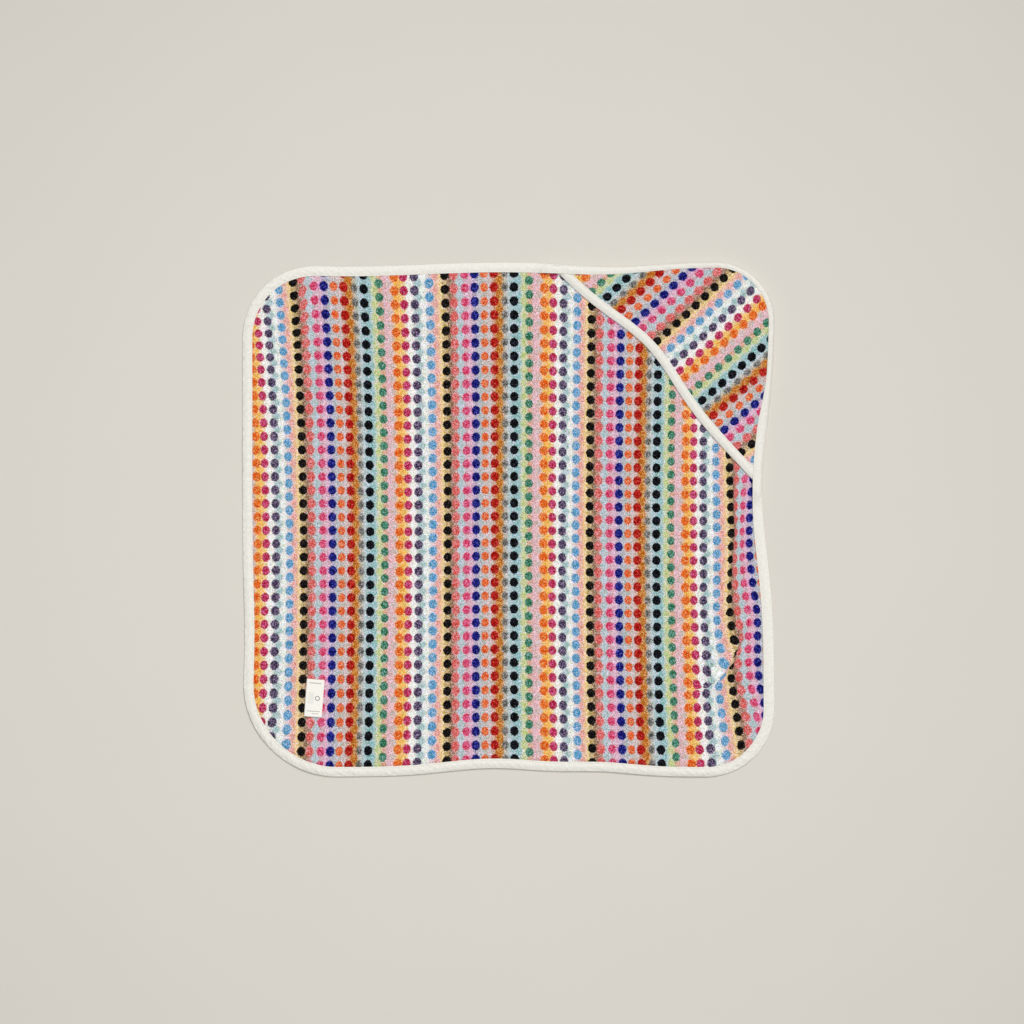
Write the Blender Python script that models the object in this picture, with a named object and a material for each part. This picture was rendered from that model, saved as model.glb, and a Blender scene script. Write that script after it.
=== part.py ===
"""Hooded baby towel, laid flat on its back with the corner hood at +X +Y.

Each cut piece of cloth and each row of sewing is an object of its own: the square panel, the corner
hood, the tape that folds round the whole edge, the tape on the hood's free edge, the care label and
the sewing threads. Metres, +Z up, the underside of the panel on Z = 0.
"""

import math

import bmesh
import bpy
import numpy as np

MM = 0.001

# The panel as it lies
WIDTH = 0.750
DEPTH = 0.726
TERRY_T = 3.8 * MM
CORNER_RADII = {
    "near_right": 0.096,
    "hood": 0.085,
    "far_left": 0.108,
    "near_left": 0.135,
}
# Soft inward bends of the laid edge: the side, the middle along it, the depth and the reach
EDGE_BENDS = (
    ("far", -0.225, 6.6 * MM, 0.140),
    ("far", 0.145, 7.0 * MM, 0.088),
    ("right", 0.042, 17.3 * MM, 0.127),
    ("near", -0.020, 12.0 * MM, 0.095),
    ("near", 0.130, 6.3 * MM, 0.065),
    ("left", -0.160, 3.0 * MM, 0.090),
)

# Tape, sewn margin and clearances
TAPE_T = 0.6 * MM
TAPE_WIDTH = 14.0 * MM
HOOD_TAPE_WIDTH = 13.0 * MM
MARGIN_T = 0.8 * MM
GAP = 0.3 * MM
FOLD_CHAMFER = 0.7 * MM
PILE_SLOPE = 0.5 * MM
HOOD_EDGE_ROOM = 1.9 * MM
HOOD_PILE_ROOM = 0.8 * MM

# The hood's free edge, as the middle line of its tape
HOOD_FAR_LEG = 0.295
HOOD_SIDE_LEG = 0.3045
HOOD_FAR_SET_IN = 0.018
HOOD_SIDE_SET_IN = 0.0245
HOOD_BOW = 0.0195
HOOD_BOW_MIDDLE = 0.39
HOOD_BOW_REACH = 0.22
HOOD_OVERRUN = 0.12

# Room past the ends of the hood's tape before the raised edge tape slopes down, and the slopes' lengths
END_ROOM = 5.0 * MM
END_SLOPE = 20.0 * MM
SEAM_SLOPE = 25.0 * MM

# Care label and thread
LABEL_WIDTH = 25.0 * MM
LABEL_LENGTH = 53.0 * MM
LABEL_T = 0.4 * MM
LABEL_FROM_LEFT = 0.1015
LABEL_FROM_NEAR = 0.1113
LABEL_LEAN = math.radians(-4.3)
LABEL_THREAD_SET_OFF = 0.9 * MM
THREAD_R = 0.15 * MM
STITCH_SET_IN = 2.2 * MM

# Fineness
CORNER_STEPS = 8
SIDE_STEPS = 12
FREE_EDGE_STEPS = 200
HOOD_SEAM_STEPS = 40
HOOD_FREE_STEPS = 22

# Places and heights that follow
LABEL_AT = (LABEL_FROM_LEFT - WIDTH / 2, LABEL_FROM_NEAR - DEPTH / 2)
TAPE_STACK = 2 * TAPE_T + 2 * GAP + MARGIN_T
TAPE_LOW = (TERRY_T - TAPE_STACK) / 2
MARGIN_LOW = TAPE_LOW + TAPE_T + GAP
HOOD_LOW = TERRY_T + GAP
HOOD_TAPE_LOW = HOOD_LOW + TAPE_LOW
HOOD_MARGIN_LOW = HOOD_LOW + MARGIN_LOW
PLAIN_TOP = TAPE_LOW + TAPE_STACK
OVER_HOOD = HOOD_LOW
OVER_END = GAP + TAPE_T

SIDE_NORMALS = {
    "near": np.array([0.0, -1.0]),
    "right": np.array([1.0, 0.0]),
    "far": np.array([0.0, 1.0]),
    "left": np.array([-1.0, 0.0]),
}
HOOD_FAR_END = np.array([WIDTH / 2 - HOOD_FAR_LEG, DEPTH / 2 - HOOD_FAR_SET_IN])
HOOD_SIDE_END = np.array([WIDTH / 2 - HOOD_SIDE_SET_IN, DEPTH / 2 - HOOD_SIDE_LEG])
HOOD_CHORD = HOOD_SIDE_END - HOOD_FAR_END
TO_CORNER = np.array([-HOOD_CHORD[1], HOOD_CHORD[0]]) / np.linalg.norm(HOOD_CHORD)


def clear_scene():
    for obj in list(bpy.data.objects):
        bpy.data.objects.remove(obj)


def material(name, colour, roughness):
    made = bpy.data.materials.new(name)
    made.use_nodes = True
    shader = made.node_tree.nodes["Principled BSDF"]
    shader.inputs["Base Color"].default_value = (*colour, 1.0)
    shader.inputs["Roughness"].default_value = roughness
    return made


def side_bend(side, across):
    """How far a side's soft bends move it in at a place along it."""
    return sum(
        depth * math.exp(-(((across - middle) / reach) ** 2))
        for name, middle, depth, reach in EDGE_BENDS
        if name == side
    )


def hood_tape_end(side):
    """Where the hood's tape passes under the edge tape on this side: the middle, and half the length
    of edge tape that it raises."""
    start, out = (HOOD_FAR_END, -1) if side == "far" else (HOOD_SIDE_END, 1)
    on = int(side == "right")
    way = out * HOOD_CHORD / np.linalg.norm(HOOD_CHORD)
    sine, cosine = abs(way[1 - on]), abs(way[on])
    side_line = (DEPTH / 2 if side == "far" else WIDTH / 2) - side_bend(side, start[on])
    still_to_go = side_line - TAPE_WIDTH / 2 - start[1 - on]
    middle = start[on] + way[on] * still_to_go / sine
    half = (HOOD_TAPE_WIDTH + TAPE_WIDTH * cosine) / sine / 2 + END_ROOM
    return middle, half


HOOD_TAPE_ENDS = {side: hood_tape_end(side) for side in ("far", "right")}


def seam_marks(side):
    """Places along a side where the edge tape's height changes, round one end of the hood's tape."""
    middle, half = HOOD_TAPE_ENDS[side]
    return [
        middle - half - SEAM_SLOPE,
        middle - half - END_SLOPE,
        middle - half,
        middle + half,
        middle + half + END_SLOPE,
    ]


def stations():
    """The stations round the edge, anticlockwise: point, outward direction and how much each one is
    raised, 0 to 1, by the hood's seam and by an end of the hood's tape."""
    half = np.array([WIDTH / 2, DEPTH / 2])
    corners = (
        ("near_right", (1, -1), -90, "right"),
        ("hood", (1, 1), 0, "far"),
        ("far_left", (-1, 1), 90, "left"),
        ("near_left", (-1, -1), 180, "near"),
    )
    found = []
    for i, (name, signs, start, side) in enumerate(corners):
        radius = CORNER_RADII[name]
        centre = np.array(signs) * (half - radius)
        for k in range(CORNER_STEPS + 1):
            turn = math.radians(start + 90 * k / CORNER_STEPS)
            out = np.array([math.cos(turn), math.sin(turn)])
            found.append((centre + radius * out, out, float(name == "hood"), 0.0))
        following, next_signs = corners[(i + 1) % 4][:2]
        out = SIDE_NORMALS[side]
        first = centre + radius * out
        last = np.array(next_signs) * (half - CORNER_RADII[following])
        last = last + CORNER_RADII[following] * out
        length = np.linalg.norm(last - first)
        along = (last - first) / length
        places = list(np.linspace(0, length, SIDE_STEPS + 1)[1:-1])
        on = int(side == "right")
        if side in HOOD_TAPE_ENDS:
            places += [(mark - first[on]) / along[on] for mark in seam_marks(side)]
        for place in sorted(places):
            point = first + place * along
            seam, end = 0.0, 0.0
            if side in HOOD_TAPE_ENDS:
                middle, reach = HOOD_TAPE_ENDS[side]
                past = point[on] - middle
                seam = min(1.0, max(0.0, (past + reach + SEAM_SLOPE) / SEAM_SLOPE))
                end = min(1.0, max(0.0, (reach + END_SLOPE - abs(past)) / END_SLOPE))
            found.append((point, out, seam, end))
    return found


def bent(point, out):
    """The point moved in by the soft bends of the sides that it faces."""
    moved = point.copy()
    for side, normal in SIDE_NORMALS.items():
        facing = max(0.0, float(out @ normal))
        across = point[0] if side in ("near", "far") else point[1]
        moved -= normal * side_bend(side, across) * facing**2
    return moved


def sideways(line, closed):
    """Unit vectors to the left of the direction of travel at each point of a flat line."""
    if closed:
        travel = np.roll(line, -1, axis=0) - np.roll(line, 1, axis=0)
    else:
        travel = np.gradient(line, axis=0)
    travel /= np.linalg.norm(travel, axis=1, keepdims=True)
    return np.stack([-travel[:, 1], travel[:, 0]], axis=1)


STATIONS = stations()
EDGE = np.array([bent(point, out) for point, out, _, _ in STATIONS])
EDGE -= (EDGE.min(axis=0) + EDGE.max(axis=0)) / 2
EDGE_IN = sideways(EDGE, True)
SEAM_RAISE = np.array([seam for _, _, seam, _ in STATIONS])
END_RAISE = np.array([end for _, _, _, end in STATIONS])
TAPE_RISE = OVER_HOOD * SEAM_RAISE + OVER_END * END_RAISE


def edge_line(inset):
    """The towel's outline moved in by inset."""
    return EDGE + inset * EDGE_IN


def free_edge():
    """The middle line of the hood's tape, run on past the towel's edge at both ends."""
    s = np.linspace(-HOOD_OVERRUN, 1 + HOOD_OVERRUN, FREE_EDGE_STEPS + 1)[:, None]
    bow = HOOD_BOW * np.exp(-(((s - HOOD_BOW_MIDDLE) / HOOD_BOW_REACH) ** 2))
    return HOOD_FAR_END + s * HOOD_CHORD + bow * TO_CORNER


FREE = free_edge()
FREE_IN = sideways(FREE, False)


def free_line(inset):
    """The hood tape's outer edge moved towards the hood's corner by inset."""
    return FREE + (inset - HOOD_TAPE_WIDTH / 2) * FREE_IN


def crossing(a, b, c, d):
    """Where segment a-b meets segment c-d, as a share of a-b, or None."""
    along, other = b - a, d - c
    scale = along[0] * other[1] - along[1] * other[0]
    if abs(scale) < 1e-15:
        return None
    start = c - a
    t = (start[0] * other[1] - start[1] * other[0]) / scale
    u = (start[0] * along[1] - start[1] * along[0]) / scale
    return t if 0 <= t < 1 and 0 <= u < 1 else None


def meetings(line, ring):
    """[(place along the line, place along the ring)] of each crossing, in steps of their points."""
    found = []
    for i in range(len(line) - 1):
        for k in range(len(ring)):
            c, d = ring[k], ring[(k + 1) % len(ring)]
            t = crossing(line[i], line[i + 1], c, d)
            if t is not None:
                place = crossing(c, d, line[i], line[i + 1])
                found.append((i + t, k + (place or 0.0)))
    return found


def evenly(line, count):
    """count points spread evenly along a line."""
    steps = np.linalg.norm(np.diff(line, axis=0), axis=1)
    along = np.concatenate([[0], np.cumsum(steps)])
    at = np.linspace(0, along[-1], count)
    return np.stack([np.interp(at, along, line[:, k]) for k in range(line.shape[1])], axis=1)


def between(line, start, end):
    """The stretch of a line from place start to place end, in steps of its points."""
    inner = np.arange(math.floor(start) + 1, math.ceil(end))
    places = np.concatenate([[start], inner, [end]])
    index = np.arange(len(line))
    return np.stack([np.interp(places, index, line[:, k]) for k in range(2)], axis=1)


def across_hood(inset, edge_inset, count):
    """The free edge moved in by inset, from one side of the towel's edge tape to the other."""
    line, ring = free_line(inset), edge_line(edge_inset)
    places = sorted(place for place, _ in meetings(line, ring))
    return evenly(between(line, places[0], places[-1]), count)


def hood_outline(edge_inset, free_inset):
    """The hood's outline, with its sewn sides and its free edge moved in, anticlockwise."""
    line, ring = free_line(free_inset), edge_line(edge_inset)
    found = sorted(meetings(line, ring))
    on_far, on_side = found[0][1], found[-1][1]
    seam = evenly(between(ring, on_side, on_far), HOOD_SEAM_STEPS)
    free = across_hood(free_inset, edge_inset, HOOD_FREE_STEPS)
    return np.concatenate([seam, free[1:-1]])


def raised(line, height):
    """A flat line lifted to a height, or to one height per point."""
    return np.column_stack([line, np.broadcast_to(height, len(line))])


def solid(name, lines, look, group, looped, closed, origin=(0, 0, 0)):
    """One closed body skinned over lines of equal count. looped joins each line's last point to its
    first, and closed joins the last line to the first; what stays open is capped.

    The lines are unlike one another, in length and in height, so no modifier sweeps them."""
    points = np.array(lines) - np.array(origin)
    rows, count = points.shape[:2]
    mesh = bmesh.new()
    grid = [[mesh.verts.new(p) for p in row] for row in points]
    for i in range(rows if closed else rows - 1):
        for k in range(count if looped else count - 1):
            a, b = grid[i], grid[(i + 1) % rows]
            following = (k + 1) % count
            mesh.faces.new((a[k], a[following], b[following], b[k]))
    if not closed:
        mesh.faces.new(grid[0])
        mesh.faces.new(grid[-1])
    if not looped:
        mesh.faces.new([row[0] for row in grid])
        mesh.faces.new([row[-1] for row in grid])
    bmesh.ops.recalc_face_normals(mesh, faces=mesh.faces)
    data = bpy.data.meshes.new(name)
    mesh.to_mesh(data)
    mesh.free()
    data.materials.append(look)
    obj = bpy.data.objects.new(name, data)
    obj.location = origin
    group.objects.link(obj)
    return obj


def folded_tape(width, low, top):
    """The section of a tape folded over an edge: (inset, height) round its outline."""
    return (
        (width, low),
        (FOLD_CHAMFER, low),
        (0.0, low + FOLD_CHAMFER),
        (0.0, top - FOLD_CHAMFER),
        (FOLD_CHAMFER, top),
        (width, top),
        (width, top - TAPE_T),
        (TAPE_T, top - TAPE_T),
        (TAPE_T, low + TAPE_T),
        (width, low + TAPE_T),
    )


def thread(name, line, look, group, closed, origin=(0, 0, 0)):
    """A sewing thread swept along its row of stitches."""
    curve = bpy.data.curves.new(name, "CURVE")
    curve.dimensions = "3D"
    curve.bevel_depth = THREAD_R
    curve.bevel_resolution = 0
    curve.use_fill_caps = True
    spline = curve.splines.new("POLY")
    spline.points.add(len(line) - 1)
    for point, place in zip(spline.points, line - np.array(origin), strict=True):
        point.co = (*place, 1.0)
    spline.use_cyclic_u = closed
    curve.materials.append(look)
    obj = bpy.data.objects.new(name, curve)
    obj.location = origin
    group.objects.link(obj)
    return obj


def slab(name, size, centre, lean, look, group, pivot):
    """A plain rectangular piece, with its origin at the pivot given in its own frame."""
    mesh = bmesh.new()
    bmesh.ops.create_cube(mesh, size=1.0)
    bmesh.ops.scale(mesh, vec=size, verts=mesh.verts)
    bmesh.ops.translate(mesh, vec=[-p for p in pivot], verts=mesh.verts)
    data = bpy.data.meshes.new(name)
    mesh.to_mesh(data)
    mesh.free()
    data.materials.append(look)
    obj = bpy.data.objects.new(name, data)
    turned = (
        pivot[0] * math.cos(lean) - pivot[1] * math.sin(lean),
        pivot[0] * math.sin(lean) + pivot[1] * math.cos(lean),
        pivot[2],
    )
    obj.location = [c + t for c, t in zip(centre, turned, strict=True)]
    obj.rotation_euler = (0, 0, lean)
    group.objects.link(obj)
    return obj


def panel(group, terry):
    """The square panel: full pile inside the tape, crushed flat where the tape holds it."""
    inner = TAPE_WIDTH + GAP
    outer = TAPE_T + 2 * GAP
    margin_top = MARGIN_LOW + MARGIN_T + (TERRY_T - MARGIN_LOW - MARGIN_T) * SEAM_RAISE
    rings = [
        raised(edge_line(inner + PILE_SLOPE), 0.0),
        raised(edge_line(inner), MARGIN_LOW),
        raised(edge_line(outer), MARGIN_LOW),
        raised(edge_line(outer), margin_top),
        raised(edge_line(inner), margin_top),
        raised(edge_line(inner + PILE_SLOPE), TERRY_T),
    ]
    return solid("body_panel", rings, terry, group, looped=True, closed=False)


def hood_origin():
    """A point on the hood's hinge line, which runs across the tip of the hood's corner, level with the
    hood's underside and square to the way from its free edge to that corner."""
    corner = edge_line(TAPE_T + HOOD_EDGE_ROOM)
    return (*corner[int(np.argmax(corner @ TO_CORNER))], HOOD_LOW)


def hood(group, terry, origin):
    """The corner hood: a second piece of terry whose two sewn sides lie inside the edge tape."""
    inner_edge = TAPE_WIDTH + HOOD_PILE_ROOM
    inner_free = HOOD_TAPE_WIDTH + HOOD_PILE_ROOM
    outer_free = TAPE_T + 2 * GAP
    pile_ring = hood_outline(inner_edge + PILE_SLOPE, inner_free + PILE_SLOPE)
    inner_ring = hood_outline(inner_edge, inner_free)
    outer_ring = hood_outline(TAPE_T + HOOD_EDGE_ROOM, outer_free)
    rings = [
        raised(pile_ring, HOOD_LOW),
        raised(inner_ring, HOOD_MARGIN_LOW),
        raised(outer_ring, HOOD_MARGIN_LOW),
        raised(outer_ring, HOOD_MARGIN_LOW + MARGIN_T),
        raised(inner_ring, HOOD_MARGIN_LOW + MARGIN_T),
        raised(pile_ring, HOOD_LOW + TERRY_T),
    ]
    return solid("hood_panel", rings, terry, group, looped=True, closed=False, origin=origin)


def edge_binding(group, cotton):
    """The tape round the whole towel, rising where it also holds the hood."""
    section = folded_tape(TAPE_WIDTH, TAPE_LOW, PLAIN_TOP)
    middle = (TAPE_LOW + PLAIN_TOP) / 2
    rings = [
        raised(edge_line(inset), height + (TAPE_RISE if height > middle else 0.0))
        for inset, height in section
    ]
    return solid("edge_binding", rings, cotton, group, looped=True, closed=True)


def hood_binding(group, cotton, origin):
    """The tape on the hood's free edge, its ends caught under the edge tape."""
    section = folded_tape(HOOD_TAPE_WIDTH, HOOD_TAPE_LOW, HOOD_TAPE_LOW + TAPE_STACK)
    lines = [
        raised(across_hood(inset, TAPE_T + HOOD_EDGE_ROOM, HOOD_FREE_STEPS), height)
        for inset, height in section
    ]
    return solid(
        "hood_binding", lines, cotton, group, looped=False, closed=True, origin=origin
    )


def stitching(group, yarn, origin):
    """The rows that sew the tapes down, seen on the front and on the back."""
    on_edge = edge_line(TAPE_WIDTH - STITCH_SET_IN)
    above = PLAIN_TOP + TAPE_RISE + GAP + THREAD_R
    below = TAPE_LOW - GAP - THREAD_R
    thread("edge_stitch_front", raised(on_edge, above), yarn, group, True)
    thread("edge_stitch_back", raised(on_edge, below), yarn, group, True)
    on_hood = across_hood(
        HOOD_TAPE_WIDTH - STITCH_SET_IN, TAPE_WIDTH + 2 * GAP, HOOD_FREE_STEPS
    )
    above = HOOD_TAPE_LOW + TAPE_STACK + GAP + THREAD_R
    below = HOOD_TAPE_LOW - GAP - THREAD_R
    thread("hood_stitch_front", raised(on_hood, above), yarn, group, False, origin)
    thread("hood_stitch_back", raised(on_hood, below), yarn, group, False, origin)


def label(group, satin, yarn):
    """The care label, sewn down along its upper end only, with its row of thread just past that end."""
    centre = (*LABEL_AT, HOOD_LOW + LABEL_T / 2)
    pivot = (0.0, LABEL_LENGTH / 2, -LABEL_T / 2)
    size = (LABEL_WIDTH, LABEL_LENGTH, LABEL_T)
    slab("care_label", size, centre, LABEL_LEAN, satin, group, pivot)
    row = LABEL_LENGTH / 2 + LABEL_THREAD_SET_OFF
    ends = [
        (
            LABEL_AT[0] + x * math.cos(LABEL_LEAN) - row * math.sin(LABEL_LEAN),
            LABEL_AT[1] + x * math.sin(LABEL_LEAN) + row * math.cos(LABEL_LEAN),
            HOOD_LOW + THREAD_R,
        )
        for x in (-LABEL_WIDTH / 2, LABEL_WIDTH / 2)
    ]
    thread("label_stitch", np.array(ends), yarn, group, False)


def build():
    clear_scene()
    towel = bpy.data.collections.new("hooded_towel")
    bpy.context.scene.collection.children.link(towel)
    terry = material("terry", (0.72, 0.50, 0.48), 0.95)
    cotton = material("binding_cotton", (0.84, 0.82, 0.76), 0.8)
    satin = material("label_satin", (0.86, 0.85, 0.80), 0.5)
    yarn = material("thread", (0.88, 0.86, 0.80), 0.7)
    origin = hood_origin()
    panel(towel, terry)
    edge_binding(towel, cotton)
    hood(towel, terry, origin)
    hood_binding(towel, cotton, origin)
    stitching(towel, yarn, origin)
    label(towel, satin, yarn)


build()
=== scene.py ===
"""Hooded baby towel, laid flat on its back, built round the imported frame.

Two pieces of printed terry, the square panel and the corner hood, are held by cotton tape folded
over their edges and sewn down. Metres, +Z up. What the cloth does as it lies, its soft waves and
two creases, is one height that every piece shares, so that nothing parts or cuts through its
neighbour.
"""

import math

import bpy
import numpy as np
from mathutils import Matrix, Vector


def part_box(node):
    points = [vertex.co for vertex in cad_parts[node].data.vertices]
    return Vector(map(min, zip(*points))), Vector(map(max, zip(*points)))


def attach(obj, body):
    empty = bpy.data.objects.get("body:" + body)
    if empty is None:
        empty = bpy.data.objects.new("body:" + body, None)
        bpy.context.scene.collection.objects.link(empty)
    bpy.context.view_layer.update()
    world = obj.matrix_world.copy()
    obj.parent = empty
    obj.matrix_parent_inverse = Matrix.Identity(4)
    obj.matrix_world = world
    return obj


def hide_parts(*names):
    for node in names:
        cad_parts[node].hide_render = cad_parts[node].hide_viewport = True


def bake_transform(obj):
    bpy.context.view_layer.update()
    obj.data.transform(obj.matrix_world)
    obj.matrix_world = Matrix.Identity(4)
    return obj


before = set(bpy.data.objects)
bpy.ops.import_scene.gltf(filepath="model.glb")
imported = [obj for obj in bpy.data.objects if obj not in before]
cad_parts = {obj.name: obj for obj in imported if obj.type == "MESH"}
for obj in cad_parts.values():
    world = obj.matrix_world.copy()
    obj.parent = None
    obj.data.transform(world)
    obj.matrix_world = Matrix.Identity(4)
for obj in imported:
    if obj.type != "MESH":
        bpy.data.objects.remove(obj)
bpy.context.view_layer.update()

MM = 0.001

# The panel as it lies
WIDTH = 0.750
DEPTH = 0.726
CORNERS = (
    ("near_right", (1, -1), -90, 0.096),
    ("hood", (1, 1), 0, 0.085),
    ("far_left", (-1, 1), 90, 0.108),
    ("near_left", (-1, -1), 180, 0.135),
)
SIDES = (("near", (0, -1)), ("right", (1, 0)), ("far", (0, 1)), ("left", (-1, 0)))
# Soft inward bends of the laid edge: the side, the middle along it, the depth and the reach
EDGE_BENDS = (
    ("far", -0.225, 6.6 * MM, 0.140),
    ("far", 0.145, 7.0 * MM, 0.088),
    ("right", 0.042, 17.3 * MM, 0.127),
    ("near", -0.020, 12.0 * MM, 0.095),
    ("near", 0.130, 6.3 * MM, 0.065),
    ("left", -0.160, 3.0 * MM, 0.090),
)
EDGE_POINTS = 2880

# Heights of the layers, from the floor up
TERRY_T = 3.8 * MM
TAPE_T = 0.6 * MM
TAPE_WIDTH = 14.0 * MM
HOOD_TAPE_WIDTH = 13.0 * MM
MARGIN_T = 0.8 * MM
GAP = 0.3 * MM
TAPE_LOW = 0.6 * MM
TAPE_TOP = 3.2 * MM
MARGIN_LOW = 1.5 * MM
HOOD_LOW = TERRY_T + GAP
OVER_TAPE_END = GAP + TAPE_T
HOOD_TUCKED = 2.5 * MM

# The hood's free edge, as the middle line of its tape: its ends, its bow's depth, middle and reach
# as shares of the way along, how far the line runs past both ends, and about how long the tape is
FREE_FAR_END = np.array([0.080, 0.345])
FREE_SIDE_END = np.array([0.3505, 0.0585])
FREE_BOW, FREE_BOW_MIDDLE, FREE_BOW_REACH = 0.0195, 0.39, 0.22
FREE_OVERRUN = 0.12
FREE_LENGTH = 0.42

# How much less of the edge tape's width shows round the hood's corner, and how much more down the
# right side, as shares of it
SHOWS_LESS = 0.42
SHOWS_MORE = 0.10

# Sewing
STITCH_SET_IN = 2.2 * MM
STITCH_LENGTH = 2.5 * MM
STITCH_PITCH = 3.1 * MM
THREAD_R = 0.2 * MM

# The print: columns of round spots, repeated across the cloth
REPEAT = 205.6 * MM
ROW = 18.95 * MM
LOOP = 1.25 * MM

# The care label
LABEL_AT = np.array([-0.2735, -0.2517])
LABEL_SIZE = (25.0 * MM, 53.0 * MM)
LABEL_LEAN = math.radians(-4.3)
LABEL_T = 0.35 * MM


# ---------------------------------------------------------------- lines that the pieces follow


def smooth(value, low, high):
    """0 below low, 1 above high, and an even curve between."""
    t = np.clip((value - low) / (high - low), 0, 1)
    return t * t * (3 - 2 * t)


def sideways(line, closed):
    """Unit vectors to the left of the direction of travel at each point of a flat line."""
    if closed:
        travel = np.roll(line, -1, axis=0) - np.roll(line, 1, axis=0)
    else:
        travel = np.gradient(line, axis=0)
    travel = travel / np.linalg.norm(travel, axis=1, keepdims=True)
    return np.stack([-travel[:, 1], travel[:, 0]], axis=1)


def evenly(line, count, closed=False):
    """The line as count points at even steps along it."""
    line = np.concatenate([line, line[:1]]) if closed else line
    steps = np.linalg.norm(np.diff(line, axis=0), axis=1)
    along = np.concatenate([[0], np.cumsum(steps)])
    at = np.linspace(0, along[-1], count, endpoint=not closed)
    return np.stack([np.interp(at, along, line[:, k]) for k in range(2)], axis=1)


def outline():
    """The towel's edge, anticlockwise: a square with rounded corners, drawn in by its soft
    bends."""
    half = np.array([WIDTH / 2, DEPTH / 2])
    points, outs = [], []
    for i, (_, signs, start, radius) in enumerate(CORNERS):
        turns = np.radians(start + np.linspace(0, 90, 200, endpoint=False))
        out = np.stack([np.cos(turns), np.sin(turns)], axis=1)
        arc = np.array(signs) * (half - radius) + radius * out
        _, next_signs, next_start, next_radius = CORNERS[(i + 1) % 4]
        way = np.array([math.cos(math.radians(next_start)), math.sin(math.radians(next_start))])
        first = np.array(signs) * (half - radius) + radius * way
        last = np.array(next_signs) * (half - next_radius) + next_radius * way
        share = np.linspace(0, 1, 600, endpoint=False)[:, None]
        points += [arc, first + share * (last - first)]
        outs += [out, np.repeat(way[None], 600, axis=0)]
    points, outs = np.concatenate(points), np.concatenate(outs)
    moved = points.copy()
    for side, middle, depth, reach in EDGE_BENDS:
        normal = np.array(dict(SIDES)[side])
        across = points[:, 0] if side in ("near", "far") else points[:, 1]
        facing = np.maximum(0, outs @ normal)
        pull = depth * np.exp(-(((across - middle) / reach) ** 2)) * facing**2
        moved -= pull[:, None] * normal
    low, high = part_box("edge_binding")
    moved += (np.array(low)[:2] + np.array(high)[:2] - moved.min(0) - moved.max(0)) / 2
    return evenly(moved, EDGE_POINTS, closed=True)


EDGE = outline()
EDGE_IN = sideways(EDGE, True)
EDGE_LENGTH = float(np.linalg.norm(EDGE - np.roll(EDGE, 1, axis=0), axis=1).sum())


def free_edge():
    """The middle line of the hood's tape, run on past the towel's edge at both ends."""
    s = np.linspace(-FREE_OVERRUN, 1 + FREE_OVERRUN, 1200)[:, None]
    chord = FREE_SIDE_END - FREE_FAR_END
    to_corner = np.array([-chord[1], chord[0]]) / np.linalg.norm(chord)
    bow = FREE_BOW * np.exp(-(((s - FREE_BOW_MIDDLE) / FREE_BOW_REACH) ** 2))
    return FREE_FAR_END + s * chord + bow * to_corner


FREE = free_edge()
FREE_IN = sideways(FREE, False)


def tape_share():
    """The edge tape's width at each point as a share of its full width: round the hood's corner,
    where it wraps two layers, it turns down and shows less."""
    x, y = EDGE.T
    round_hood = smooth(x, 0.03, 0.26) * smooth(y, 0.12, 0.21)
    down_right = smooth(x, 0.32, 0.36) * smooth(-y, -0.04, 0.06)
    return 1 - SHOWS_LESS * round_hood + SHOWS_MORE * down_right


def edge_line(inset):
    return EDGE + (inset * tape_share())[:, None] * EDGE_IN


def free_line(inset):
    """The hood tape's outer edge, moved towards the hood's corner by inset."""
    return FREE + (inset - HOOD_TAPE_WIDTH / 2) * FREE_IN


def meetings(line, ring):
    """(place along the line, place along the ring) of each crossing, in steps of their points."""
    a, b = line[:-1, None], line[1:, None]
    c, d = ring[None], np.roll(ring, -1, axis=0)[None]
    along, other, start = b - a, d - c, c - a
    scale = along[..., 0] * other[..., 1] - along[..., 1] * other[..., 0]
    scale = np.where(np.abs(scale) < 1e-18, np.inf, scale)
    t = (start[..., 0] * other[..., 1] - start[..., 1] * other[..., 0]) / scale
    u = (start[..., 0] * along[..., 1] - start[..., 1] * along[..., 0]) / scale
    i, k = np.nonzero((t >= 0) & (t < 1) & (u >= 0) & (u < 1))
    found = sorted(zip(i + t[i, k], k + u[i, k], strict=True))
    return found[0], found[-1]


def between(line, start, end):
    """The stretch of a line from place start to place end, in steps of its points."""
    places = np.concatenate([[start], np.arange(math.floor(start) + 1, math.ceil(end)), [end]])
    index = np.arange(len(line))
    return np.stack([np.interp(places, index, line[:, k]) for k in range(2)], axis=1)


def across_hood(inset, edge_inset, count):
    """The free edge moved in by inset, from one side of the towel to the other."""
    line = free_line(inset)
    first, last = meetings(line, edge_line(edge_inset))
    return evenly(between(line, first[0], last[0]), count)


def hood_ring(edge_inset, free_inset, counts):
    """The hood's outline moved in, anticlockwise from the side end of its free edge, with the
    corner's and the free edge's middles at set counts of points."""
    line, ring = free_line(free_inset), edge_line(edge_inset)
    (on_far_free, on_far), (on_side_free, on_side) = meetings(line, ring)
    corner = int(np.argmax(ring @ np.array([1.0, 1.0])))
    seam = [between(ring, on_side, corner), between(ring, corner, on_far)]
    middle = (on_far_free + on_side_free) / 2
    free = [between(line, on_far_free, middle), between(line, middle, on_side_free)]
    stretches = [evenly(part, counts + 1)[:-1] for part in seam + free]
    return np.concatenate(stretches)


# ---------------------------------------------------------------- how the cloth lies


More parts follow.
